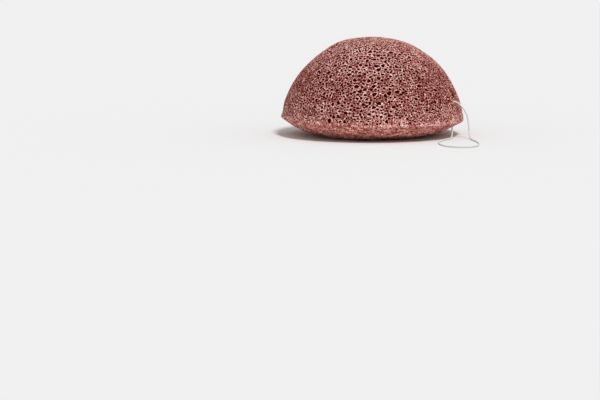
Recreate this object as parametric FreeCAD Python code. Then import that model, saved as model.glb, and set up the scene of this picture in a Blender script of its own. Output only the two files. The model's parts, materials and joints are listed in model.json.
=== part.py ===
import FreeCAD, Part
import math
import os
from FreeCAD import Vector

# A half-ball konjac sponge with a tied cotton string for hanging it up to dry, in millimetres.
# The origin is under the middle of the sponge, on the surface that it stands on. +Z is up, and the
# string is threaded through the edge at the +X side.

# Sponge: a dome over a rounded rim, and a fuller underside with a flat spot that it stands on
SPONGE_DIAMETER = 78.0
SPONGE_HEIGHT = 41.8
RIM_HEIGHT = 7.4
RIM_ROUNDING = 1.2
BASE_DIAMETER = 37.0

# Threading hole: straight down through the edge of the sponge, pulled open at its upper mouth
HOLE_FROM_RIM = 2.2
HOLE_AZIMUTH = -24.6
MOUTH_RADIUS = 1.7
MOUTH_RISE = 1.2

# String, its clearances and the knot that closes its loop, drawn up into a pocket in the underside
STRING_DIAMETER = 0.7
THREAD_CLEARANCE = 0.05
FLOOR_CLEARANCE = 0.01
KNOT_DIAMETER = 1.7
KNOT_LENGTH = 1.6
KNOT_END_DIAMETER = 1.0
KNOT_CLEARANCE = 0.3
KNOT_SUNK = 1.0

# Each bend of the string takes up this share of the shorter run beside it
BEND_SHARE = 0.45

# The string's free route, from the hole's upper mouth over the rim, round on the floor and back to
# the knot. X and Y are counted from the hole's axis. Heights of the falling stretch are counted
# from the mouth, heights of the rising stretch are shares of the way from the floor to the knot.
FALLING_STRETCH = [
    (0.0, 0.0, 0.0),
    (0.02, 0.0, 0.75),
    (0.45, 0.0, 1.25),
    (1.3, 0.02, 1.32),
    (2.6, 0.06, 0.75),
    (4.2, 0.1, -1.0),
    (5.6, 0.13, -2.95),
    (6.6, 0.1, -5.3),
    (6.95, 0.0, -8.2),
    (7.2, -0.25, -11.4),
]
LANDING_POINT = (7.4, -1.3)
LANDING_HEIGHT = 0.7
FLOOR_STRETCH = [
    (7.8, -4.2),
    (8.3, -9.0),
    (9.6, -14.8),
    (10.3, -21.6),
    (10.0, -28.4),
    (8.9, -33.9),
    (6.0, -37.4),
    (1.8, -38.2),
    (-2.2, -36.2),
    (-4.9, -31.6),
    (-6.3, -25.4),
    (-6.5, -18.8),
    (-5.2, -12.8),
    (-3.0, -7.6),
    (-1.2, -4.2),
    (-0.45, -2.2),
]
RISING_STRETCH = [
    (-0.1, -0.95, 0.12),
    (0.0, -0.25, 0.36),
    (0.0, 0.0, 0.66),
    (0.0, 0.0, 1.0),
]

# Worked out from the sizes above
RIM_RADIUS = SPONGE_DIAMETER / 2
BASE_RADIUS = BASE_DIAMETER / 2
STRING_RADIUS = STRING_DIAMETER / 2
HOLE_RADIUS = STRING_RADIUS + THREAD_CLEARANCE
HOLE_REACH = RIM_RADIUS - HOLE_FROM_RIM
HOLE_X = HOLE_REACH * math.cos(math.radians(HOLE_AZIMUTH))
HOLE_Y = HOLE_REACH * math.sin(math.radians(HOLE_AZIMUTH))
NOSE_REACH = RIM_RADIUS - RIM_ROUNDING
STRING_LAY = STRING_RADIUS + FLOOR_CLEARANCE


def dome_centre_height():
    """Height of the centre of the dome's sphere, which meets the rim's rounding without a step."""
    crown = SPONGE_HEIGHT - RIM_ROUNDING
    return (crown**2 - NOSE_REACH**2 - RIM_HEIGHT**2) / (2 * (crown - RIM_HEIGHT))


def underside_radius():
    """Radius of the underside's curve, from the flat spot up to the rim's rounding."""
    across = NOSE_REACH - BASE_RADIUS
    rise = RIM_HEIGHT - RIM_ROUNDING
    return (across**2 + RIM_HEIGHT**2 - RIM_ROUNDING**2) / (2 * rise)


DOME_CENTRE = dome_centre_height()
DOME_RADIUS = SPONGE_HEIGHT - DOME_CENTRE
UNDERSIDE_RADIUS = underside_radius()


def dome_height(reach):
    """Height of the dome at a distance from the sponge's axis."""
    return DOME_CENTRE + math.sqrt(DOME_RADIUS**2 - reach**2)


def underside_height(reach):
    """Height of the underside at a distance from the sponge's axis."""
    return UNDERSIDE_RADIUS - math.sqrt(UNDERSIDE_RADIUS**2 - (reach - BASE_RADIUS) ** 2)


MOUTH_HEIGHT = dome_height(HOLE_REACH + HOLE_RADIUS)
KNOT_BOTTOM = underside_height(HOLE_REACH) + KNOT_SUNK
KNOT_TOP = KNOT_BOTTOM + KNOT_LENGTH
POCKET_RADIUS = KNOT_DIAMETER / 2 + KNOT_CLEARANCE
POCKET_TOP = KNOT_TOP + KNOT_CLEARANCE


def arc(first, middle, last):
    """One edge of an arc through three points."""
    return Part.Arc(first, middle, last).toShape()


def line(first, last):
    """One straight edge."""
    return Part.LineSegment(first, last).toShape()


def beyond(centre, other, radius):
    """The point on a circle about centre that lies on the far side from other."""
    way = (centre - other).normalize()
    return centre + way * radius


def turned_solid(edges, axis_point):
    """A solid of revolution about a vertical axis, from the edges of half its section."""
    section = Part.Face(Part.Wire(edges))
    return section.revolve(axis_point, Vector(0, 0, 1), 360)


def sponge_body():
    """The moulded sponge with its threading hole, the hole's pulled-open mouth and the knot's pocket."""
    foot = Vector(0, 0, 0)
    crown = Vector(0, 0, SPONGE_HEIGHT)
    dome_centre = Vector(0, 0, DOME_CENTRE)
    nose_centre = Vector(NOSE_REACH, 0, RIM_HEIGHT)
    under_centre = Vector(BASE_RADIUS, 0, UNDERSIDE_RADIUS)
    base_edge = Vector(BASE_RADIUS, 0, 0)
    nose_top = beyond(nose_centre, dome_centre, RIM_ROUNDING)
    nose_low = beyond(nose_centre, under_centre, RIM_ROUNDING)
    nose_tip = nose_centre + Vector(RIM_ROUNDING, 0, 0)
    half_dome = (nose_top - dome_centre).normalize() + Vector(0, 0, 1)
    dome_middle = dome_centre + half_dome.normalize() * DOME_RADIUS
    half_under = (nose_low - under_centre).normalize() + Vector(0, 0, -1)
    under_middle = under_centre + half_under.normalize() * UNDERSIDE_RADIUS
    whole = turned_solid(
        [
            line(foot, base_edge),
            arc(base_edge, under_middle, nose_low),
            arc(nose_low, nose_tip, nose_top),
            arc(nose_top, dome_middle, crown),
            line(crown, foot),
        ],
        foot,
    )
    hole_foot = Vector(HOLE_X, HOLE_Y, 0)
    hole = Part.makeCylinder(HOLE_RADIUS, SPONGE_HEIGHT, hole_foot)
    mouth_centre = hole_foot + Vector(0, 0, MOUTH_HEIGHT + MOUTH_RISE)
    mouth = Part.makeSphere(MOUTH_RADIUS, mouth_centre)
    pocket = Part.makeCylinder(POCKET_RADIUS, POCKET_TOP, hole_foot)
    return whole.cut(hole).cut(mouth).cut(pocket)


def string_threaded():
    """The stretch of string inside the hole, from the knot to the hole's upper mouth."""
    start = Vector(HOLE_X, HOLE_Y, KNOT_TOP)
    return Part.makeCylinder(STRING_RADIUS, MOUTH_HEIGHT - KNOT_TOP, start)


def string_knot():
    """The knot in its pocket, as a barrel. The string's ends are cut close to it."""
    axis_foot = Vector(HOLE_X, HOLE_Y, 0)
    bottom = axis_foot + Vector(0, 0, KNOT_BOTTOM)
    top = axis_foot + Vector(0, 0, KNOT_TOP)
    middle = axis_foot + Vector(KNOT_DIAMETER / 2, 0, (KNOT_BOTTOM + KNOT_TOP) / 2)
    outward = Vector(KNOT_END_DIAMETER / 2, 0, 0)
    return turned_solid(
        [
            line(bottom, bottom + outward),
            arc(bottom + outward, middle, top + outward),
            line(top + outward, top),
            line(top, bottom),
        ],
        axis_foot,
    )


def loop_route():
    """The points of the free stretch, from the upper mouth round to the knot."""
    floor_to_knot = KNOT_BOTTOM - STRING_LAY
    points = [(x, y, MOUTH_HEIGHT + up) for x, y, up in FALLING_STRETCH]
    points.append(LANDING_POINT + (STRING_LAY + LANDING_HEIGHT,))
    points += [(x, y, STRING_LAY) for x, y in FLOOR_STRETCH]
    points += [(x, y, STRING_LAY + share * floor_to_knot) for x, y, share in RISING_STRETCH]
    return [Vector(HOLE_X + x, HOLE_Y + y, z) for x, y, z in points]


def rounded_path(points):
    """Straight runs joined by tangent arcs, with the arcs' radii."""
    edges = []
    radii = []
    start = points[0]
    for before, corner, after in zip(points, points[1:], points[2:]):
        back = before - corner
        ahead = after - corner
        half_turn = (math.pi - back.getAngle(ahead)) / 2
        reach = BEND_SHARE * min(back.Length, ahead.Length)
        radius = reach / math.tan(half_turn)
        back.normalize()
        ahead.normalize()
        first = corner + back * reach
        last = corner + ahead * reach
        inward = (back + ahead).normalize()
        middle = corner + inward * (radius / math.cos(half_turn) - radius)
        edges.append(line(start, first))
        edges.append(arc(first, middle, last))
        radii.append(radius)
        start = last
    edges.append(line(start, points[-1]))
    return Part.Wire(edges), radii


def string_loop():
    """The free stretch of string, as a round tube along its route."""
    path, radii = rounded_path(loop_route())
    start = path.Edges[0].Vertexes[0].Point
    section = Part.Wire(Part.Circle(start, Vector(0, 0, 1), STRING_RADIUS).toShape())
    tube = path.makePipeShell([section], True, False)
    expected = math.pi * STRING_RADIUS**2 * path.Length
    print("string free length", round(path.Length, 2))
    print("string bend radii", [round(radius, 2) for radius in radii])
    print("string volume over section times length", round(tube.Volume / expected, 4))
    return tube


NODES = {
    "sponge_body": sponge_body,
    "string_threaded": string_threaded,
    "string_knot": string_knot,
    "string_loop": string_loop,
}

os.makedirs("parts", exist_ok=True)
for name, make in NODES.items():
    shape = make()
    shape.exportStep("parts/" + name + ".step")
    print(name, "solids", len(shape.Solids), "valid", shape.isValid(), "volume", round(shape.Volume, 2))
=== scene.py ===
import bmesh
import bpy
import json
import math
import numpy as np
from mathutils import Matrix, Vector, kdtree, noise


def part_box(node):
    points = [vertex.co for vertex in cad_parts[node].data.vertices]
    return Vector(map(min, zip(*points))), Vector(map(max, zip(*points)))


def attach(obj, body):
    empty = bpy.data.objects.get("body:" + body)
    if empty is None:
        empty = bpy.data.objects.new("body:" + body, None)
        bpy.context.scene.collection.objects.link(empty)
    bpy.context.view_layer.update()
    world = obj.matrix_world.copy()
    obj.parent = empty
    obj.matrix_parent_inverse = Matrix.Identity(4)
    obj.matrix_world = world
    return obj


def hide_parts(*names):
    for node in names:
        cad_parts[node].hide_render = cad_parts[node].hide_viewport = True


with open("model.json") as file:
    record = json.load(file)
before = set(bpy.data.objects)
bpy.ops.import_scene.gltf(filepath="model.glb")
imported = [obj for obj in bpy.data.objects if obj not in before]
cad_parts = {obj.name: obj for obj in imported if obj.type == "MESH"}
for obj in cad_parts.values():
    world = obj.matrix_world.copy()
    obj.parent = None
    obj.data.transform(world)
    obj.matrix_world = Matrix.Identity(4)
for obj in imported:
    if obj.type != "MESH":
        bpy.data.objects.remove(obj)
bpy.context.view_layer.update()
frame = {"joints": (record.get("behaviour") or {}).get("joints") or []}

# A dry half-ball konjac sponge with its cotton hanging string, in metres

MM = 0.001

# One seed for all that is random, so that every run gives the same sponge
SEED = 11
noise.seed_set(SEED)

# Sponge sizes: those of the solid, with a sharper rim
_, SPONGE_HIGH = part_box("sponge_body")
SPONGE_HEIGHT = SPONGE_HIGH.z
RIM_RADIUS = SPONGE_HIGH.x
RIM_HEIGHT = 7.4 * MM
RIM_ROUNDING = 0.8 * MM
BASE_RADIUS = 18.5 * MM
NOSE_REACH = RIM_RADIUS - RIM_ROUNDING
CROWN = SPONGE_HEIGHT - RIM_ROUNDING
DOME_CENTRE = (CROWN**2 - NOSE_REACH**2 - RIM_HEIGHT**2) / (2 * (CROWN - RIM_HEIGHT))
DOME_RADIUS = SPONGE_HEIGHT - DOME_CENTRE
UNDER_ACROSS = NOSE_REACH - BASE_RADIUS
UNDER_RADIUS = (UNDER_ACROSS**2 + RIM_HEIGHT**2 - RIM_ROUNDING**2) / (2 * (RIM_HEIGHT - RIM_ROUNDING))

# The foam stands a little lopsided: its rim is lower at the string's side
LEAN = math.tan(math.radians(1.1))

# The threading hole's axis, from the joint that the string turns on, and the string on it
HOLE = Vector(frame["joints"][0]["pos_m"])
THREAD_LOW, THREAD_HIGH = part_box("string_threaded")
KNOT_LOW, KNOT_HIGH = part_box("string_knot")
MOUTH_HEIGHT = THREAD_HIGH.z
KNOT_TOP = KNOT_HIGH.z
KNOT_BOTTOM = KNOT_LOW.z
STRING_RADIUS = (THREAD_HIGH.x - THREAD_LOW.x) / 2
STRING_LAY = STRING_RADIUS + 0.01 * MM

# Where the photograph was taken from, in its 600 by 400 pixels
IMAGE_WIDTH = 600
IMAGE_HEIGHT = 400
RIM_PIXEL = (372.5, 117.5)
FOCAL_PIXELS = 3280
CAMERA_PITCH = math.radians(7.1)
METRES_PER_PIXEL = 0.429 * MM
SENSOR_WIDTH = 36.0


def camera():
    """A long lens, a little above the rim, with the sponge where the photograph has it."""
    data = bpy.data.cameras.new("camera")
    data.sensor_width = SENSOR_WIDTH
    data.lens = FOCAL_PIXELS / IMAGE_WIDTH * SENSOR_WIDTH
    data.clip_start = 0.05
    data.clip_end = 50
    eye = bpy.data.objects.new("camera", data)
    bpy.context.scene.collection.objects.link(eye)
    ahead = Vector((0, math.cos(CAMERA_PITCH), -math.sin(CAMERA_PITCH)))
    up = Vector((0, math.sin(CAMERA_PITCH), math.cos(CAMERA_PITCH)))
    right = Vector((1, 0, 0))
    across = (RIM_PIXEL[0] - IMAGE_WIDTH / 2) * METRES_PER_PIXEL
    above = (IMAGE_HEIGHT / 2 - RIM_PIXEL[1]) * METRES_PER_PIXEL
    away = FOCAL_PIXELS * METRES_PER_PIXEL
    rim_centre = Vector((0, 0, RIM_HEIGHT))
    eye.location = rim_centre - right * across - up * above - ahead * away
    eye.rotation_euler = (math.pi / 2 - CAMERA_PITCH, 0, 0)
    bpy.context.scene.camera = eye


def new_object(name, mesh, material):
    """An object at the origin that holds a finished mesh."""
    piece = bpy.data.objects.new(name, mesh)
    bpy.context.scene.collection.objects.link(piece)
    mesh.materials.clear()
    mesh.materials.append(material)
    return piece


def smoothstep(low, high, value):
    """A soft step from 0 to 1 between two values."""
    t = np.clip((value - low) / (high - low), 0, 1)
    return t * t * (3 - 2 * t)


def bell(value, middle, width):
    """A soft bump of height 1 about a value."""
    return np.exp(-(((value - middle) / width) ** 2))


def leaned(places):
    """Points moved as the lopsided foam is: down at the string's side, more so above the base."""
    moved = np.array(places, dtype=float)
    moved[:, 2] -= moved[:, 0] * LEAN * smoothstep(0, RIM_HEIGHT, moved[:, 2])
    return moved


# Materials


class Shader:
    """A short way to write a node tree: nodes by kind, with values or links on their sockets."""

    def __init__(self, name):
        self.material = bpy.data.materials.new(name)
        self.material.use_nodes = True
        self.tree = self.material.node_tree
        self.surface = self.tree.nodes["Principled BSDF"]

    def node(self, kind, **values):
        made = self.tree.nodes.new("ShaderNode" + kind)
        for key, value in values.items():
            setattr(made, key, value)
        return made

    def feed(self, socket, value):
        if isinstance(value, bpy.types.NodeSocket):
            self.tree.links.new(value, socket)
        else:
            socket.default_value = value

    def noise(self, place, scale, detail=3.0, roughness=0.55):
        made = self.node("TexNoise")
        self.feed(made.inputs["Vector"], place)
        made.inputs["Scale"].default_value = scale
        made.inputs["Detail"].default_value = detail
        made.inputs["Roughness"].default_value = roughness
        return made.outputs["Fac"]

    def spots(self, place, scale, values, tones, detail=2.0, roughness=0.55):
        """Noise whose values between two limits become tones between two others."""
        made = self.noise(place, scale, detail, roughness)
        return self.range(made, *values, *tones)

    def ramp(self, value, stops):
        made = self.node("ValToRGB")
        self.feed(made.inputs["Fac"], value)
        elements = made.color_ramp.elements
        while len(elements) < len(stops):
            elements.new(0.5)
        for element, (position, colour) in zip(elements, stops):
            element.position = position
            element.color = (*srgb(*colour), 1)
        return made.outputs["Color"]

    def range(self, value, low, high, to_low=0.0, to_high=1.0):
        made = self.node("MapRange")
        self.feed(made.inputs["Value"], value)
        made.inputs["From Min"].default_value = low
        made.inputs["From Max"].default_value = high
        made.inputs["To Min"].default_value = to_low
        made.inputs["To Max"].default_value = to_high
        return made.outputs["Result"]

    # A mix node holds sockets for every kind of value, so those in use are picked by number

    def mix(self, share, first, second):
        made = self.node("Mix", data_type="RGBA")
        self.feed(made.inputs[0], share)
        self.feed(made.inputs[6], first)
        self.feed(made.inputs[7], second)
        return made.outputs[2]

    def blend(self, share, first, second):
        made = self.node("Mix", data_type="FLOAT")
        self.feed(made.inputs[0], share)
        self.feed(made.inputs[2], first)
        self.feed(made.inputs[3], second)
        return made.outputs[0]

    def multiply(self, first, second):
        made = self.node("Math", operation="MULTIPLY")
        self.feed(made.inputs[0], first)
        self.feed(made.inputs[1], second)
        return made.outputs[0]

    def add(self, first, second):
        made = self.node("Math", operation="ADD")
        self.feed(made.inputs[0], first)
        self.feed(made.inputs[1], second)
        return made.outputs[0]

    def tint(self, colour, shares):
        made = self.node("VectorMath", operation="MULTIPLY")
        self.feed(made.inputs[0], colour)
        made.inputs[1].default_value = shares
        return made.outputs[0]

    def bump(self, height, distance, strength):
        made = self.node("Bump")
        self.feed(made.inputs["Height"], height)
        made.inputs["Distance"].default_value = distance
        made.inputs["Strength"].default_value = strength
        return made.outputs["Normal"]

    def attribute(self, name):
        return self.node("Attribute", attribute_name=name).outputs["Fac"]

    def place(self):
        return self.node("TexCoord").outputs["Object"]

    def set(self, **values):
        for key, value in values.items():
            self.feed(self.surface.inputs[key.replace("_", " ")], value)


def srgb(*colour):
    """A colour as it looks on screen, from 0 to 255, in the shader's linear numbers."""
    return tuple(((c / 255 + 0.055) / 1.055) ** 2.4 if c > 10 else c / 255 / 12.92 for c in colour)


# Colours as they look on screen: foam by its tone, from darkest to palest, where the palest are
# painted highlights, the painted shade in pores by its depth, and cotton by its fibres
FOAM_COLOURS = [
    (0.0, (94, 22, 12)),
    (0.25, (131, 60, 50)),
    (0.5, (170, 106, 97)),
    (0.75, (221, 161, 151)),
    (1.0, (255, 215, 206)),
]
PORE_SHADE_COLOURS = [
    (0.0, (132, 58, 48)),
    (0.5, (98, 16, 8)),
    (1.0, (70, 0, 0)),
]
COTTON_COLOURS = [
    (0.3, (198, 197, 193)),
    (0.7, (232, 231, 228)),
]

# The skin's tint, the tones of dome and skin from darkest to palest, the depth over which a pore's
# painted shade takes over, and the heights of the finest grain
SKIN_TINT = (1, 0.88, 0.85)
DOME_TONES = (0.36, 0.53)
SKIN_TONES = (0.36, 0.8)
PORE_EDGE = (0.0, 0.5)
FOAM_BUMP = 0.1 * MM
COTTON_BUMP = 0.06 * MM


def foam_material():
    """Dry konjac foam: dusty clay red, with painted shade in its pores, painted highlights on its walls
    and rim, a crown painted paler as if lit from above, and a fibrous skin below.
    """
    s = Shader("konjac_foam")
    place = s.place()
    # Painted shade inside the pores, darker where they are more open
    pore_shade = s.attribute("pore_shade")
    skin = s.attribute("skin")
    crumb = s.spots(place, scale=1750, values=(0.3, 0.7), tones=(-0.52, 0.48), roughness=0.6)
    patch = s.spots(place, scale=300, values=(0.3, 0.7), tones=(-0.22, 0.22), detail=3, roughness=0.6)
    # Painted highlights on the walls between pores, broken up into specks and patches
    highlight_specks = s.spots(place, scale=1500, values=(0.34, 0.54), tones=(0.0, 1.0))
    highlight_patches = s.spots(place, scale=420, values=(0.36, 0.6), tones=(0.4, 1.1))
    wall = s.multiply(s.attribute("ridge_highlight"), s.multiply(highlight_specks, highlight_patches))
    # Painted glints speckled along the rim's nose, on the open foam and on the skin
    glint_specks = s.spots(place, scale=1100, values=(0.56, 0.68), tones=(0.0, 0.5))
    rim_glints = s.multiply(s.attribute("rim"), glint_specks)
    pale = s.spots(place, scale=640, values=(0.6, 0.72), tones=(0.0, 0.5))
    # The ground tone, with the crown painted paler as if lit from above
    ground = s.range(s.attribute("band"), 0, 1, *DOME_TONES)
    dome = s.add(s.add(s.add(wall, rim_glints), pale), ground)
    grain = s.spots(place, scale=1300, values=(0.3, 0.7), tones=(-0.12, 0.12), detail=3, roughness=0.6)
    fibre = s.range(s.attribute("fibre"), 0, 1, *SKIN_TONES)
    under = s.add(fibre, s.add(grain, rim_glints))
    tone = s.add(s.blend(skin, dome, under), s.add(crumb, patch))
    colour = s.ramp(tone, FOAM_COLOURS)
    surface = s.mix(skin, colour, s.tint(colour, SKIN_TINT))
    s.set(
        # The pores' painted shade takes over from the foam's colour towards their middles
        Base_Color=s.mix(s.range(pore_shade, *PORE_EDGE), surface, s.ramp(pore_shade, PORE_SHADE_COLOURS)),
        Roughness=0.9,
        Specular_IOR_Level=0.05,
        Normal=s.bump(s.noise(place, scale=3200, detail=4, roughness=0.65), FOAM_BUMP, strength=0.7),
    )
    return s.material


def cotton_material():
    """Bleached cotton yarn: soft white with faint fibres."""
    s = Shader("cotton_yarn")
    fibres = s.noise(s.place(), scale=5200, detail=3, roughness=0.6)
    s.set(
        Base_Color=s.ramp(fibres, COTTON_COLOURS),
        Roughness=0.85,
        Specular_IOR_Level=0.3,
        Sheen_Weight=0.25,
        Normal=s.bump(fibres, COTTON_BUMP, strength=0.6),
    )
    return s.material


# String: its free route from the hole's upper mouth over the rim, round on the floor and back up
# to the knot. X and Y are counted from the hole's axis, in millimetres. Heights of the falling
# stretch are counted from the mouth, heights of the rising stretch are shares of the way from the
# floor to the knot.

FALLING_STRETCH = [
    (0.0, 0.0, 0.0),
    (-0.1, 0.0, 0.85),
    (0.0, 0.0, 1.2),
    (0.5, 0.0, 1.25),
    (1.4, 0.02, 1.12),
    (2.6, 0.06, 0.6),
    (4.2, 0.1, -1.05),
    (5.6, 0.13, -2.95),
    (6.6, 0.1, -5.3),
    (6.95, 0.0, -8.2),
    (7.2, -0.25, -11.4),
]
LANDING_POINT = (7.4, -1.3)
LANDING_HEIGHT = 0.7
FLOOR_STRETCH = [
    (7.8, -4.2),
    (8.3, -9.0),
    (9.6, -14.8),
    (10.3, -21.6),
    (10.0, -28.4),
    (8.9, -33.9),
    (6.0, -37.4),
    (1.8, -38.2),
    (-2.2, -36.2),
    (-4.9, -31.6),
    (-6.3, -25.4),
    (-6.5, -18.8),
    (-5.2, -12.8),
    (-3.0, -7.6),
    (-1.2, -4.2),
    (-0.45, -2.2),
]
RISING_STRETCH = [
    (-0.1, -0.95, 0.12),
    (0.0, -0.25, 0.36),
    (0.0, 0.0, 0.66),
    (0.0, 0.0, 1.0),
]
PLIES = 3
PLY_SHARE = 0.47
PLY_PITCH = 2.1 * MM
YARN_STEP = 0.14 * MM

# The knot: turns of the string's end round itself, and what is left of that end
KNOT_TURNS = 1.6
KNOT_STEPS = 50
KNOT_TAIL = 0.45 * MM
KNOT_RADIUS = (KNOT_HIGH.x - KNOT_LOW.x) / 2


def on_hole(points):
    """Points counted from the hole's axis, moved there and leaned with the foam."""
    return leaned(np.array(points) + np.array([HOLE.x, HOLE.y, 0]))


def string_route():
    """The control points of the free stretch, from the upper mouth round to the knot."""
    rise = (KNOT_BOTTOM - STRING_LAY) / MM
    floor = STRING_LAY / MM
    points = [(x, y, MOUTH_HEIGHT / MM + up) for x, y, up in FALLING_STRETCH]
    points.append((*LANDING_POINT, floor + LANDING_HEIGHT))
    points += [(x, y, floor) for x, y in FLOOR_STRETCH]
    points += [(x, y, floor + share * rise) for x, y, share in RISING_STRETCH]
    return on_hole(np.array(points) * MM)


def smooth_line(points, steps=16):
    """Points read along a smooth NURBS line that has the given control points."""
    curve = bpy.data.curves.new("line", "CURVE")
    curve.dimensions = "3D"
    spline = curve.splines.new("NURBS")
    spline.points.add(len(points) - 1)
    for control, point in zip(spline.points, points):
        control.co = (*point, 1)
    spline.order_u = 3
    spline.use_endpoint_u = True
    spline.resolution_u = steps
    holder = bpy.data.objects.new("line", curve)
    mesh = bpy.data.meshes.new_from_object(holder)
    found = [v.co.copy() for v in mesh.vertices]
    bpy.data.objects.remove(holder)
    bpy.data.curves.remove(curve)
    bpy.data.meshes.remove(mesh)
    return found


def even_points(points, gap):
    """The same line with points an even gap apart, and each one's distance along it."""
    line = np.array(points)
    run = np.concatenate([[0], np.cumsum(np.linalg.norm(np.diff(line, axis=0), axis=1))])
    count = max(int(run[-1] / gap), 2)
    along = np.linspace(0, run[-1], count + 1)
    return np.stack([np.interp(along, run, line[:, i]) for i in range(3)], 1), along


def carried_axes(line):
    """Two axes across the line at each point, carried along it without twist."""
    ahead = np.gradient(line, axis=0)
    ahead /= np.linalg.norm(ahead, axis=1)[:, None]
    before = Vector(ahead[0])
    side = before.orthogonal().normalized()
    axes = []
    for step in ahead:
        way = Vector(step)
        side = before.rotation_difference(way) @ side
        side = (side - way * side.dot(way)).normalized()
        axes.append((side.copy(), way.cross(side)))
        before = way
    return axes


def twisted_yarn(name, lines, material):
    """Plied yarn along one or more lines, as one mesh."""
    ply_radius = STRING_RADIUS * PLY_SHARE
    ply_reach = STRING_RADIUS - ply_radius
    curve = bpy.data.curves.new(name, "CURVE")
    curve.dimensions = "3D"
    curve.bevel_depth = ply_radius
    curve.bevel_resolution = 2
    curve.use_fill_caps = True
    for line in lines:
        points, along = even_points(line, YARN_STEP)
        axes = carried_axes(points)
        for ply in range(PLIES):
            spline = curve.splines.new("POLY")
            spline.points.add(len(points) - 1)
            for control, point, run, (one, two) in zip(spline.points, points, along, axes):
                turn = 2 * math.pi * (run / PLY_PITCH + ply / PLIES)
                place = Vector(point) + (one * math.cos(turn) + two * math.sin(turn)) * ply_reach
                control.co = (*place, 1)
    holder = bpy.data.objects.new(name, curve)
    mesh = bpy.data.meshes.new_from_object(holder)
    bpy.data.objects.remove(holder)
    bpy.data.curves.remove(curve)
    mesh.shade_smooth()
    return new_object(name, mesh, material)


def knot_lines():
    """The string straight through the knot, and its other end wrapped round it and cut close."""
    core = [(0, 0, KNOT_TOP), (0, 0, KNOT_BOTTOM)]
    reach = KNOT_RADIUS - STRING_RADIUS
    turn = np.linspace(0, KNOT_TURNS * 2 * math.pi, KNOT_STEPS)
    height = np.linspace(KNOT_TOP - STRING_RADIUS, KNOT_BOTTOM + STRING_RADIUS, KNOT_STEPS)
    wraps = np.stack([reach * np.cos(turn), reach * np.sin(turn), height], 1)
    ahead = wraps[-1] - wraps[-2]
    tail = wraps[-1] + ahead / np.linalg.norm(ahead) * KNOT_TAIL
    return on_hole(core), on_hole([*wraps, tail])


# Sponge: a finely divided ball laid over the half section, with wider faces below the rim

SPONGE_SUBDIVISIONS = 9
UNDER_WEIGHT = 0.5
DOME_STEPS = 800
RIM_STEPS = 80
UNDER_STEPS = 400
BASE_STEPS = 200

# Which way the surface faces, by the height of its outward way: what counts as the underside, and
# where the skin below gives way to open foam
UNDERSIDE = -0.3
SKIN_FACING = (-0.5, -0.05)

# Pores, in millimetres: how many of each kind are tried, with their least and greatest radius, and
# the range of the walls between them. Overlaps are looked for cell by cell.
PORE_KINDS = [
    (720, 0.66, 0.95),
    (26000, 0.44, 0.68),
    (90000, 0.22, 0.42),
]
PORE_WALL = (-0.06, 0.16)
PORE_CELL = 2.0 * MM

# The coarsest foam is about the middle of the front, and the finest is near the rim, by heights
# above it in millimetres. Noise scales are swings per metre. Sizes are shares of the radii above:
# the least, and what height, patches of noise and the middle add to it.
COARSE_MIDDLE = np.array([-2, -27.5, 30]) * MM
COARSE_REACH = 22 * MM
COARSE_SCALE = 110
FINE_RIM = (1, 9)
LEAST_SIZE = 0.68
HEIGHT_SIZE = 0.18
PATCH_SIZE = 0.1
MIDDLE_SIZE = 0.27

# A few large pores low at the front, in millimetres: place across, height above the rim, radius
LARGE_PORES = [
    (-18.9, 1.65, 1.0),
    (-17.1, 3.25, 0.78),
    (-15.2, 3.6, 0.75),
    (-14.4, 1.5, 0.55),
]

# Where pores are: above the rim they become many between two heights in millimetres, below it
# between two distances from the rim, where the smallest stay few, and none lies within some of its
# own radii of the string's hole
BARE_RIM = (0.2, 2.6)
UNDER_PORES = (5 * MM, 14 * MM)
UNDER_PORE_RADIUS = 0.27 * MM
UNDER_FEW = 0.05
UNDER_MORE = 0.5
MOUTH_MARGIN = 3

# How far pores are open: by luck, which is better in patches, with height above the rim and at the
# middle, or by radius, and less so below towards the rim, by distance from the middle
OPEN_LUCK = (0.2, 0.7)
OPEN_RADII = (0.5 * MM, 0.65 * MM)
OPEN_SCALE = 330
OPEN_RISE = (0, 10 * MM)
LEAST_LUCK = 0.2
PATCH_LUCK = 0.5
HEIGHT_LUCK = 0.3
MIDDLE_LUCK = 0.1
UNDER_FADE = (24 * MM, 33 * MM)
UNDER_OPEN = 0.8
UNDER_LOSS = 0.4

# A pore's form: the reach of its walls in radii, the push that makes it crooked in millimetres, its
# stretch along the rim, the lobes of its edge by number and share, and the way it is turned by
PORE_REACH = 1.9
PORE_WARP = 0.13
PORE_WARP_SCALE = 800
PORE_STRETCH = 1.035
PORE_LOBES = [(2, 0.13), (3, 0.10), (5, 0.05)]
NEARLY_UP = (0.05, 0.03, 1.0)

# A pore's bowl and painted shade, in radii, with the depth and the painted shade of a dent and what an
# open pore adds
BOWL_EDGE = (0.45, 1.05)
DENT_DEPTH = 0.25
OPEN_DEPTH = 0.7
SHADE_EDGE = (0.82, 1.05)
DENT_SHADE = 0.12
OPEN_SHADE = 0.88

# Walls, by distances from the middles of the nearest pore and of the second, in radii: where they
# rise and fall off, where they get a painted highlight between two pores, and a fainter painted
# highlight in a line round a pore
WALL_RISE = (0.9, 1.15)
WALL_FALL = (1.3, 1.85)
WALL_LOSS = 0.75
PALE_NEAREST = (0.92, 1.06)
PALE_SECOND = (1.06, 1.45)
PALE_LINE = (1.14, 0.13)
LINE_SHARE = 0.38
WALL_TONE = 1.15
MIDDLE_TONE = 1.4

# Unevenness: swings per metre and height in millimetres, the share of the fine kinds that the skin
# keeps, and how close the skin's streaks are round the rim and, per millimetre, along the section
BROAD = (85, 0.28)
ROUGH = (620, 0.11)
CRUMBS = (1500, 0.1)
SKIN_ROUGHNESS = 0.25
STREAKS_ROUND = 14
STREAKS_ALONG = 1.7
FINE_STREAKS = 2.3
FINE_STREAK_SHARE = 0.6
STREAK_HEIGHT = 0.1
STREAK_TONE = 0.75
WALL_HEIGHT = 0.06

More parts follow.
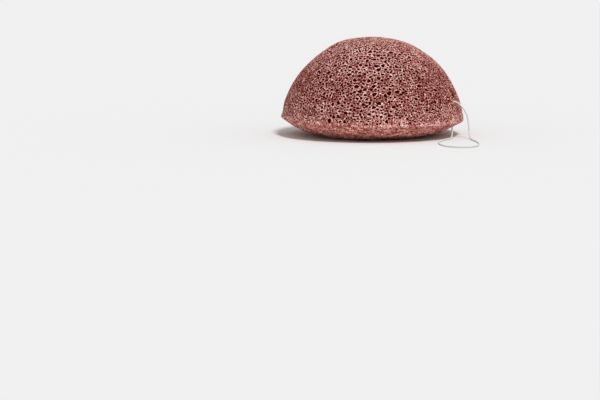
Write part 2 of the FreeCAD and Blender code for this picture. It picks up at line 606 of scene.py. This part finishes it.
# The rim's own shape, as soft rings of a height, a distance below the rim's nose and a width in
# millimetres: a lip with a hollow above it, and a drawn-in underside. Spreads are in radians.
RIM_LIP = (0.2, -0.1, 0.5)
LIP_HOLLOW = (0.25, -3, 1.8)
LIP_SPREAD = 0.4
UNDER_DRAWN = (0.5, 5, 4)
DRAWN_SPREAD = 0.7

# The foam's own shape against the even solid: full shoulders round the crown, by the turn from
# straight up, and a dome that drifts to the string's side, by height
SHOULDER = 0.62 * MM
SHOULDER_TURN = math.radians(22.5)
SHOULDER_WIDTH = math.radians(11)
DRIFT = 0.75 * MM
DRIFT_HEIGHT = 31.5 * MM
DRIFT_REACH = 9.5 * MM

# Paler tones, as middles and widths: a speckled line of painted glints on the rim and a wide band
# about it. The crown is painted paler too, as if lit from above, between two heights, and there is a
# darker band round the middle.
RIM_LINE = (-0.6 * MM, 0.8 * MM)
PALE_BAND = (-0.8 * MM, 6.5 * MM)
LIT_CROWN = (24 * MM, 40 * MM)
DARK_BAND = (25.5 * MM, 4 * MM)
LEAST_PALE = 0.35
PALE_GAIN = 0.65
DARK_LOSS = 0.38

# The foam pulled up round the hole's mouth, and the knot's pocket
MOUTH_SWELL = 0.35 * MM
MOUTH_REACH = 1.3 * MM
POCKET_CLEARANCE = 0.3 * MM
POCKET_RADIUS = KNOT_RADIUS + POCKET_CLEARANCE
POCKET_SOFTNESS = 0.15 * MM

# Room under the string as it swings: distances from the hole's axis and heights above its mouth,
# in millimetres, and where the string's side begins
SWING_ROOM = [
    (0.0, 1.4),
    (0.4, 0.55),
    (1.0, 0.35),
    (1.5, 0.3),
    (2.0, 0.5),
    (3.0, 1.5),
    (4.0, 4.0),
]
SWING_SIDE = (-0.5 * MM, 0.3 * MM)

# The discs of the surface's map: place across, place up and radius
DOME_DISC = (0.385, 0.615, 0.372)
UNDER_DISC = (0.8, 0.2, 0.19)


def arc_points(reach, height, radius, start, stop, count):
    """Points of an arc in the profile's plane. Angles are counted from straight up."""
    turn = np.linspace(start, stop, count)
    return np.stack([reach + radius * np.sin(turn), height + radius * np.cos(turn)], 1)


class Profile:
    """The sponge's half section from the crown to the middle of the base, by share of its surface."""

    def __init__(self):
        nose_start = math.atan2(NOSE_REACH, RIM_HEIGHT - DOME_CENTRE)
        nose_stop = math.atan2(UNDER_ACROSS, RIM_HEIGHT - UNDER_RADIUS)
        self.line = np.concatenate(
            [
                arc_points(0, DOME_CENTRE, DOME_RADIUS, 0, nose_start, DOME_STEPS),
                arc_points(NOSE_REACH, RIM_HEIGHT, RIM_ROUNDING, nose_start, nose_stop, RIM_STEPS)[1:],
                arc_points(BASE_RADIUS, UNDER_RADIUS, UNDER_RADIUS, nose_stop, math.pi, UNDER_STEPS)[1:],
                np.linspace((BASE_RADIUS, 0), (0, 0), BASE_STEPS)[1:],
            ]
        )
        step = np.gradient(self.line, axis=0)
        step /= np.linalg.norm(step, axis=1)[:, None]
        self.out = np.stack([-step[:, 1], step[:, 0]], 1)
        lengths = np.linalg.norm(np.diff(self.line, axis=0), axis=1)
        rings = (self.line[1:, 0] + self.line[:-1, 0]) / 2 * lengths
        below = np.arange(len(rings)) > DOME_STEPS + RIM_STEPS / 2
        self.run = np.concatenate([[0], np.cumsum(lengths)])
        self.share = self.running(rings)
        self.weighted = self.running(rings * np.where(below, UNDER_WEIGHT, 1.0))
        self.nose_run = self.run[DOME_STEPS + RIM_STEPS // 2]

    @staticmethod
    def running(parts):
        total = np.concatenate([[0], np.cumsum(parts)])
        return total / total[-1]

    def surface(self, share, azimuth, shares):
        """Points and outward directions at shares of the surface and azimuths."""
        reach = np.interp(share, shares, self.line[:, 0])
        height = np.interp(share, shares, self.line[:, 1])
        out_reach = np.interp(share, shares, self.out[:, 0])
        out_height = np.interp(share, shares, self.out[:, 1])
        east, north = np.cos(azimuth), np.sin(azimuth)
        places = np.stack([reach * east, reach * north, height], 1)
        ways = np.stack([out_reach * east, out_reach * north, out_height], 1)
        return places, ways / np.linalg.norm(ways, axis=1)[:, None]


def noise_at(places, scale):
    """Smooth noise from about -1 to 1 at points, with a number of swings per metre."""
    return np.array([noise.noise(Vector(place) * scale) for place in places])


def warped(places):
    """Points pushed about by smooth noise, so that round pores come out crooked."""
    pushes = np.array([noise.noise_vector(Vector(place) * PORE_WARP_SCALE) for place in places])
    return places + pushes * PORE_WARP * MM


def large_pores():
    """Centres, outward ways and radii of the large pores low at the front."""
    across, above, radius = np.array(LARGE_PORES).T * MM
    reach = np.sqrt(DOME_RADIUS**2 - (RIM_HEIGHT + above - DOME_CENTRE) ** 2)
    places = np.stack([across, -np.sqrt(reach**2 - across**2), RIM_HEIGHT + above], 1)
    return places, (places - [0, 0, DOME_CENTRE]) / DOME_RADIUS, radius


def coarseness(places):
    """How near points are to the coarsest foam, from 0 to 1."""
    return bell(np.linalg.norm(places - COARSE_MIDDLE, axis=1), 0, COARSE_REACH)


def tried_pores(profile, rng, tries, smallest, largest):
    """Random pores of one kind: their centres, outward ways, radii and the walls to leave."""
    share = rng.random(tries)
    azimuth = rng.random(tries) * 2 * math.pi
    places, ways = profile.surface(share, azimuth, profile.share)
    above = (places[:, 2] - RIM_HEIGHT) / MM
    coarse = LEAST_SIZE + HEIGHT_SIZE * smoothstep(*FINE_RIM, above)
    coarse += PATCH_SIZE * noise_at(places, COARSE_SCALE)
    coarse += MIDDLE_SIZE * coarseness(places)
    radii = rng.uniform(smallest, largest, tries) * coarse * MM
    walls = rng.uniform(*PORE_WALL, tries) * MM
    inward = np.interp(share, profile.share, profile.run) - profile.nose_run
    below = UNDER_FEW + UNDER_MORE * smoothstep(*UNDER_PORES, inward) * (radii > UNDER_PORE_RADIUS)
    chance = np.where(ways[:, 2] < UNDERSIDE, below, smoothstep(*BARE_RIM, above))
    mouth = np.hypot(places[:, 0] - HOLE.x, places[:, 1] - HOLE.y) < MOUTH_MARGIN * radii
    keep = (rng.random(tries) < chance) & ~mouth
    return places[keep], ways[keep], radii[keep], walls[keep]


def open_shares(centres, ways, radii, rng):
    """How far each pore is open, from 0 for a shallow dent to 1."""
    luck = rng.random(len(radii)) + PATCH_LUCK * noise_at(centres, OPEN_SCALE) + LEAST_LUCK
    luck += HEIGHT_LUCK * smoothstep(*OPEN_RISE, centres[:, 2] - RIM_HEIGHT)
    luck += MIDDLE_LUCK * coarseness(centres)
    share = smoothstep(*OPEN_LUCK, luck)
    share = np.maximum(share, smoothstep(*OPEN_RADII, radii))
    reach = np.hypot(centres[:, 0], centres[:, 1])
    below = share * (UNDER_OPEN - UNDER_LOSS * smoothstep(*UNDER_FADE, reach))
    return np.where(ways[:, 2] < UNDERSIDE, below, share)


def scatter_pores(profile, rng):
    """Pore centres, outward ways, radii and open shares, kept apart by their walls."""
    centres = []
    ways = []
    radii = []
    grid = {}
    around = [(a, b, c) for a in (-1, 0, 1) for b in (-1, 0, 1) for c in (-1, 0, 1)]
    kinds = [(*large_pores(), np.zeros(len(LARGE_PORES)))]
    kinds += [tried_pores(profile, rng, *kind) for kind in PORE_KINDS]
    for kind in kinds:
        for place, way, radius, wall in zip(*kind):
            key = tuple(int(v // PORE_CELL) for v in place)
            near = [j for step in around for j in grid.get(tuple(map(sum, zip(key, step))), ())]
            if all(math.dist(place, centres[j]) > radius + wall + radii[j] for j in near):
                grid.setdefault(key, []).append(len(centres))
                centres.append(place)
                ways.append(way)
                radii.append(radius)
    centres = np.array(centres)
    ways = np.array(ways)
    radii = np.array(radii)
    return centres, ways, radii, open_shares(centres, ways, radii, rng)


def pore_members(places, centres, radii):
    """Every pair of a pore and a point in its reach, as two lists of their numbers."""
    tree = kdtree.KDTree(len(places))
    for i, place in enumerate(places):
        tree.insert(place, i)
    tree.balance()
    owners = []
    members = []
    for n, (centre, radius) in enumerate(zip(centres, radii)):
        found = tree.find_range(centre, radius * PORE_REACH)
        owners += [n] * len(found)
        members += [item[1] for item in found]
    return np.array(owners), np.array(members)


def two_nearest(count, members, ratio):
    """Each point's distances to the middles of its two nearest pores, in radii."""
    order = np.lexsort((ratio, members))
    members = members[order]
    ratio = ratio[order]
    first = np.flatnonzero(np.diff(members, prepend=-1))
    nearest = np.full(count, PORE_REACH)
    nearest[members[first]] = ratio[first]
    after = first[np.diff(first, append=len(members)) > 1] + 1
    second = np.full(count, PORE_REACH)
    second[members[after]] = ratio[after]
    return nearest, second


def pore_pits(places, pores, rng):
    """How far points sink into a pore, how much painted shade they get there, and their two nearest
    pores.
    """
    centres, axes, radii, open_share = pores
    owners, members = pore_members(places, centres, radii)
    offset = places[members] - centres[owners]
    side = np.cross(axes, NEARLY_UP)
    side /= np.linalg.norm(side, axis=1)[:, None]
    other = np.cross(axes, side)
    along = (offset * side[owners]).sum(1) / PORE_STRETCH
    across = (offset * other[owners]).sum(1) * PORE_STRETCH
    turn = np.arctan2(across, along)
    phase = rng.random((len(radii), len(PORE_LOBES))) * 2 * math.pi
    wobble = np.ones(len(owners))
    for i, (lobes, share) in enumerate(PORE_LOBES):
        wobble += share * np.cos(lobes * turn + phase[owners, i])
    ratio = np.hypot(along, across) / (radii[owners] * wobble)
    depths = radii * (DENT_DEPTH + OPEN_DEPTH * open_share)
    sink = np.zeros(len(places))
    np.maximum.at(sink, members, (1 - smoothstep(*BOWL_EDGE, ratio)) * depths[owners])
    # Painted shade in each pore, darker in the open ones
    shades = DENT_SHADE + OPEN_SHADE * open_share
    pore_shade = np.zeros(len(places))
    np.maximum.at(pore_shade, members, (1 - smoothstep(*SHADE_EDGE, ratio)) * shades[owners])
    return sink, pore_shade, *two_nearest(len(places), members, ratio)


def pore_walls(places, nearest, second):
    """How far points stand on a wall between pores, and how strong the painted highlight on that wall
    is.
    """
    wall = smoothstep(*WALL_RISE, nearest) * (1 - WALL_LOSS * smoothstep(*WALL_FALL, nearest))
    between = smoothstep(*PALE_NEAREST, nearest) * (1 - smoothstep(*PALE_SECOND, second))
    # Painted highlight along walls between pores and in a faint line round each, stronger at the coarse
    # middle
    ridge_highlight = np.maximum(between, LINE_SHARE * bell(nearest, *PALE_LINE))
    return wall, ridge_highlight * (WALL_TONE + MIDDLE_TONE * coarseness(places))


def uneven(places, scale, height):
    """A rise and fall of the surface, from about minus to plus a height."""
    return noise_at(places, scale) * height


def skin_streaks(azimuth, run):
    """The skin's fibres, drawn out along the section."""
    east, north = np.cos(azimuth), np.sin(azimuth)
    turns = np.stack([east * STREAKS_ROUND, north * STREAKS_ROUND, run / MM * STREAKS_ALONG], 1)
    return noise_at(turns, 1.0) + FINE_STREAK_SHARE * noise_at(turns, FINE_STREAKS)


def ring(from_nose, height, middle, width):
    """A soft raised ring beside the rim, with its sizes in millimetres."""
    return height * bell(from_nose, middle * MM, width * MM)


def rim_lip(azimuth, from_nose):
    """The rim's own shape, in millimetres: a moulding lip with a hollow above it on the side opposite
    the string, and a drawn-in underside on the string's side."""
    aside = np.abs(np.angle(-np.exp(1j * azimuth)))
    lip = ring(from_nose, *RIM_LIP) - ring(from_nose, *LIP_HOLLOW)
    drawn = ring(from_nose, *UNDER_DRAWN)
    return bell(aside, 0, LIP_SPREAD) * lip - bell(azimuth, 0, DRAWN_SPREAD) * drawn


def paleness(from_nose, height):
    """How pale the open foam is: more so above the rim, at the crown as painted light from above, and
    less so round the middle.
    """
    # The crown's extra paleness is painted light from above
    pale = bell(from_nose, *PALE_BAND) + smoothstep(*LIT_CROWN, height)
    return LEAST_PALE + PALE_GAIN * pale - DARK_LOSS * bell(height, *DARK_BAND)


def hollow_hole(places, ways):
    """Swells the foam round the string at the hole's upper mouth, presses it in where the string
    swings, and opens the knot's pocket below."""
    aside = np.hypot(places[:, 0] - HOLE.x, places[:, 1] - HOLE.y)
    above = ways[:, 2] > 0
    swell = np.where(above, bell(aside, 0, MOUTH_REACH) * MOUTH_SWELL, 0)
    places += ways * swell[:, None]
    away, room = np.array(SWING_ROOM).T * MM
    over = np.maximum(places[:, 2] - MOUTH_HEIGHT - np.interp(aside, away, room), 0)
    outer = smoothstep(*SWING_SIDE, places[:, 0] - HOLE.x)
    swept = above & (aside < away[-1])
    places -= ways * np.where(swept, over * outer * ways[:, 2], 0)[:, None]
    inside = 1 - smoothstep(POCKET_RADIUS - POCKET_SOFTNESS, POCKET_RADIUS + POCKET_SOFTNESS, aside)
    opened = np.where(above, 0, inside)
    places[:, 2] += opened * np.maximum(KNOT_TOP + POCKET_CLEARANCE - places[:, 2], 0)


def lay_out(mesh, profile, share, azimuth):
    """A map of the surface for its texture: the dome as one disc and the underside as another."""
    nose = np.interp(profile.nose_run, profile.run, profile.weighted)
    dome_reach = DOME_DISC[2] * np.sqrt(share / nose)
    under_reach = UNDER_DISC[2] * np.sqrt((1 - share) / (1 - nose))
    corners = np.empty(len(mesh.loops), dtype=np.int32)
    mesh.loops.foreach_get("vertex_index", corners)
    middles = share[corners].reshape(-1, 3).mean(1)
    below = np.repeat(middles > nose, 3)
    reach = np.where(below, under_reach[corners], dome_reach[corners])
    east = np.where(below, UNDER_DISC[0], DOME_DISC[0]) + reach * np.cos(azimuth[corners])
    north = np.where(below, UNDER_DISC[1], DOME_DISC[1]) + reach * np.sin(azimuth[corners])
    layer = mesh.uv_layers.new(name="OFBake")
    layer.data.foreach_set("uv", np.stack([east, north], 1).astype(np.float32).ravel())


def fine_ball(name):
    """A finely divided ball as a mesh, and its points."""
    shape = bmesh.new()
    bmesh.ops.create_icosphere(shape, subdivisions=SPONGE_SUBDIVISIONS, radius=1)
    mesh = bpy.data.meshes.new(name)
    shape.to_mesh(mesh)
    shape.free()
    points = np.empty(len(mesh.vertices) * 3)
    mesh.vertices.foreach_get("co", points)
    return mesh, points.reshape(-1, 3)


def sponge(material):
    """The porous half-ball: every pore is a pit in the mesh."""
    rng = np.random.default_rng(SEED)
    profile = Profile()
    mesh, ball = fine_ball("sponge")
    share = (1 - ball[:, 2].clip(-1, 1)) / 2
    azimuth = np.arctan2(ball[:, 1], ball[:, 0])
    places, ways = profile.surface(share, azimuth, profile.weighted)
    run = np.interp(share, profile.weighted, profile.run)
    from_nose = run - profile.nose_run
    pores = scatter_pores(profile, rng)
    sink, pore_shade, nearest, second = pore_pits(warped(places), pores, rng)
    wall, ridge_highlight = pore_walls(places, nearest, second)
    porous = smoothstep(*SKIN_FACING, ways[:, 2])
    streaks = skin_streaks(azimuth, run)
    rough = uneven(places, *ROUGH) + uneven(places, *CRUMBS)
    raised = uneven(places, *BROAD) + rough * (SKIN_ROUGHNESS + (1 - SKIN_ROUGHNESS) * porous)
    raised += streaks * STREAK_HEIGHT * (1 - porous)
    raised += rim_lip(azimuth, from_nose)
    shoulder = SHOULDER * bell(run / DOME_RADIUS, SHOULDER_TURN, SHOULDER_WIDTH)
    moved = places + ways * (raised * MM + wall * WALL_HEIGHT * MM - sink + shoulder)[:, None]
    moved[:, 0] += DRIFT * bell(moved[:, 2], DRIFT_HEIGHT, DRIFT_REACH)
    hollow_hole(moved, ways)
    moved = leaned(moved)
    moved[:, 2] = np.maximum(moved[:, 2], 0)
    mesh.vertices.foreach_set("co", moved.ravel())
    # Attributes for the material: painted pore shade, painted wall highlights, skin fibres, skin, rim
    # glints and paler bands
    for name, values in (
        ("pore_shade", pore_shade),
        ("ridge_highlight", ridge_highlight),
        ("fibre", np.clip(0.5 + STREAK_TONE * streaks, 0, 1)),
        ("skin", 1 - porous),
        ("rim", bell(from_nose, *RIM_LINE)),
        ("band", paleness(from_nose, places[:, 2])),
    ):
        layer = mesh.attributes.new(name, "FLOAT", "POINT")
        layer.data.foreach_set("value", values.astype(np.float32))
    lay_out(mesh, profile, share, azimuth)
    mesh.shade_smooth()
    mesh.update()
    return new_object("sponge", mesh, material)


# Stage

PAPER_COLOUR = (240, 240, 240)
FLOOR_REACH = 8
SKY_STRENGTH = 0.5


def stage():
    """A plain pale floor under soft, even studio light."""
    bpy.context.scene.view_settings.view_transform = "Standard"
    paper = Shader("paper")
    paper.set(Base_Color=(*srgb(*PAPER_COLOUR), 1), Roughness=0.9, Specular_IOR_Level=0.0)
    shape = bmesh.new()
    bmesh.ops.create_grid(shape, x_segments=1, y_segments=1, size=FLOOR_REACH)
    mesh = bpy.data.meshes.new("floor")
    shape.to_mesh(mesh)
    shape.free()
    new_object("floor", mesh, paper.material)
    world = bpy.data.worlds.new("studio")
    bpy.context.scene.world = world
    world.use_nodes = True
    sky = world.node_tree.nodes["Background"]
    sky.inputs["Color"].default_value = (1, 1, 1, 1)
    sky.inputs["Strength"].default_value = SKY_STRENGTH
    lamp("key", azimuth=22, height=52, softness=14, power=2.0)


def lamp(name, azimuth, height, softness, power):
    """A far soft light, as seen from the sponge. Angles are in degrees, azimuth from the front."""
    data = bpy.data.lights.new(name, "SUN")
    data.angle = math.radians(softness)
    data.energy = power
    light = bpy.data.objects.new(name, data)
    bpy.context.scene.collection.objects.link(light)
    light.rotation_euler = (math.radians(90 - height), 0, math.radians(azimuth))


camera()
stage()
foam = foam_material()
cotton = cotton_material()
body = sponge(foam)
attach(body, "sponge")
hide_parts("sponge_body")
route = smooth_line(string_route())
loop = twisted_yarn("hanging_string", [route], cotton)
thread = twisted_yarn("threaded_string", [on_hole([(0, 0, KNOT_TOP), (0, 0, MOUTH_HEIGHT)])], cotton)
knot = twisted_yarn("knot", knot_lines(), cotton)
for piece, node in ((loop, "string_loop"), (thread, "string_threaded"), (knot, "string_knot")):
    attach(piece, "hanging_loop")
    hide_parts(node)
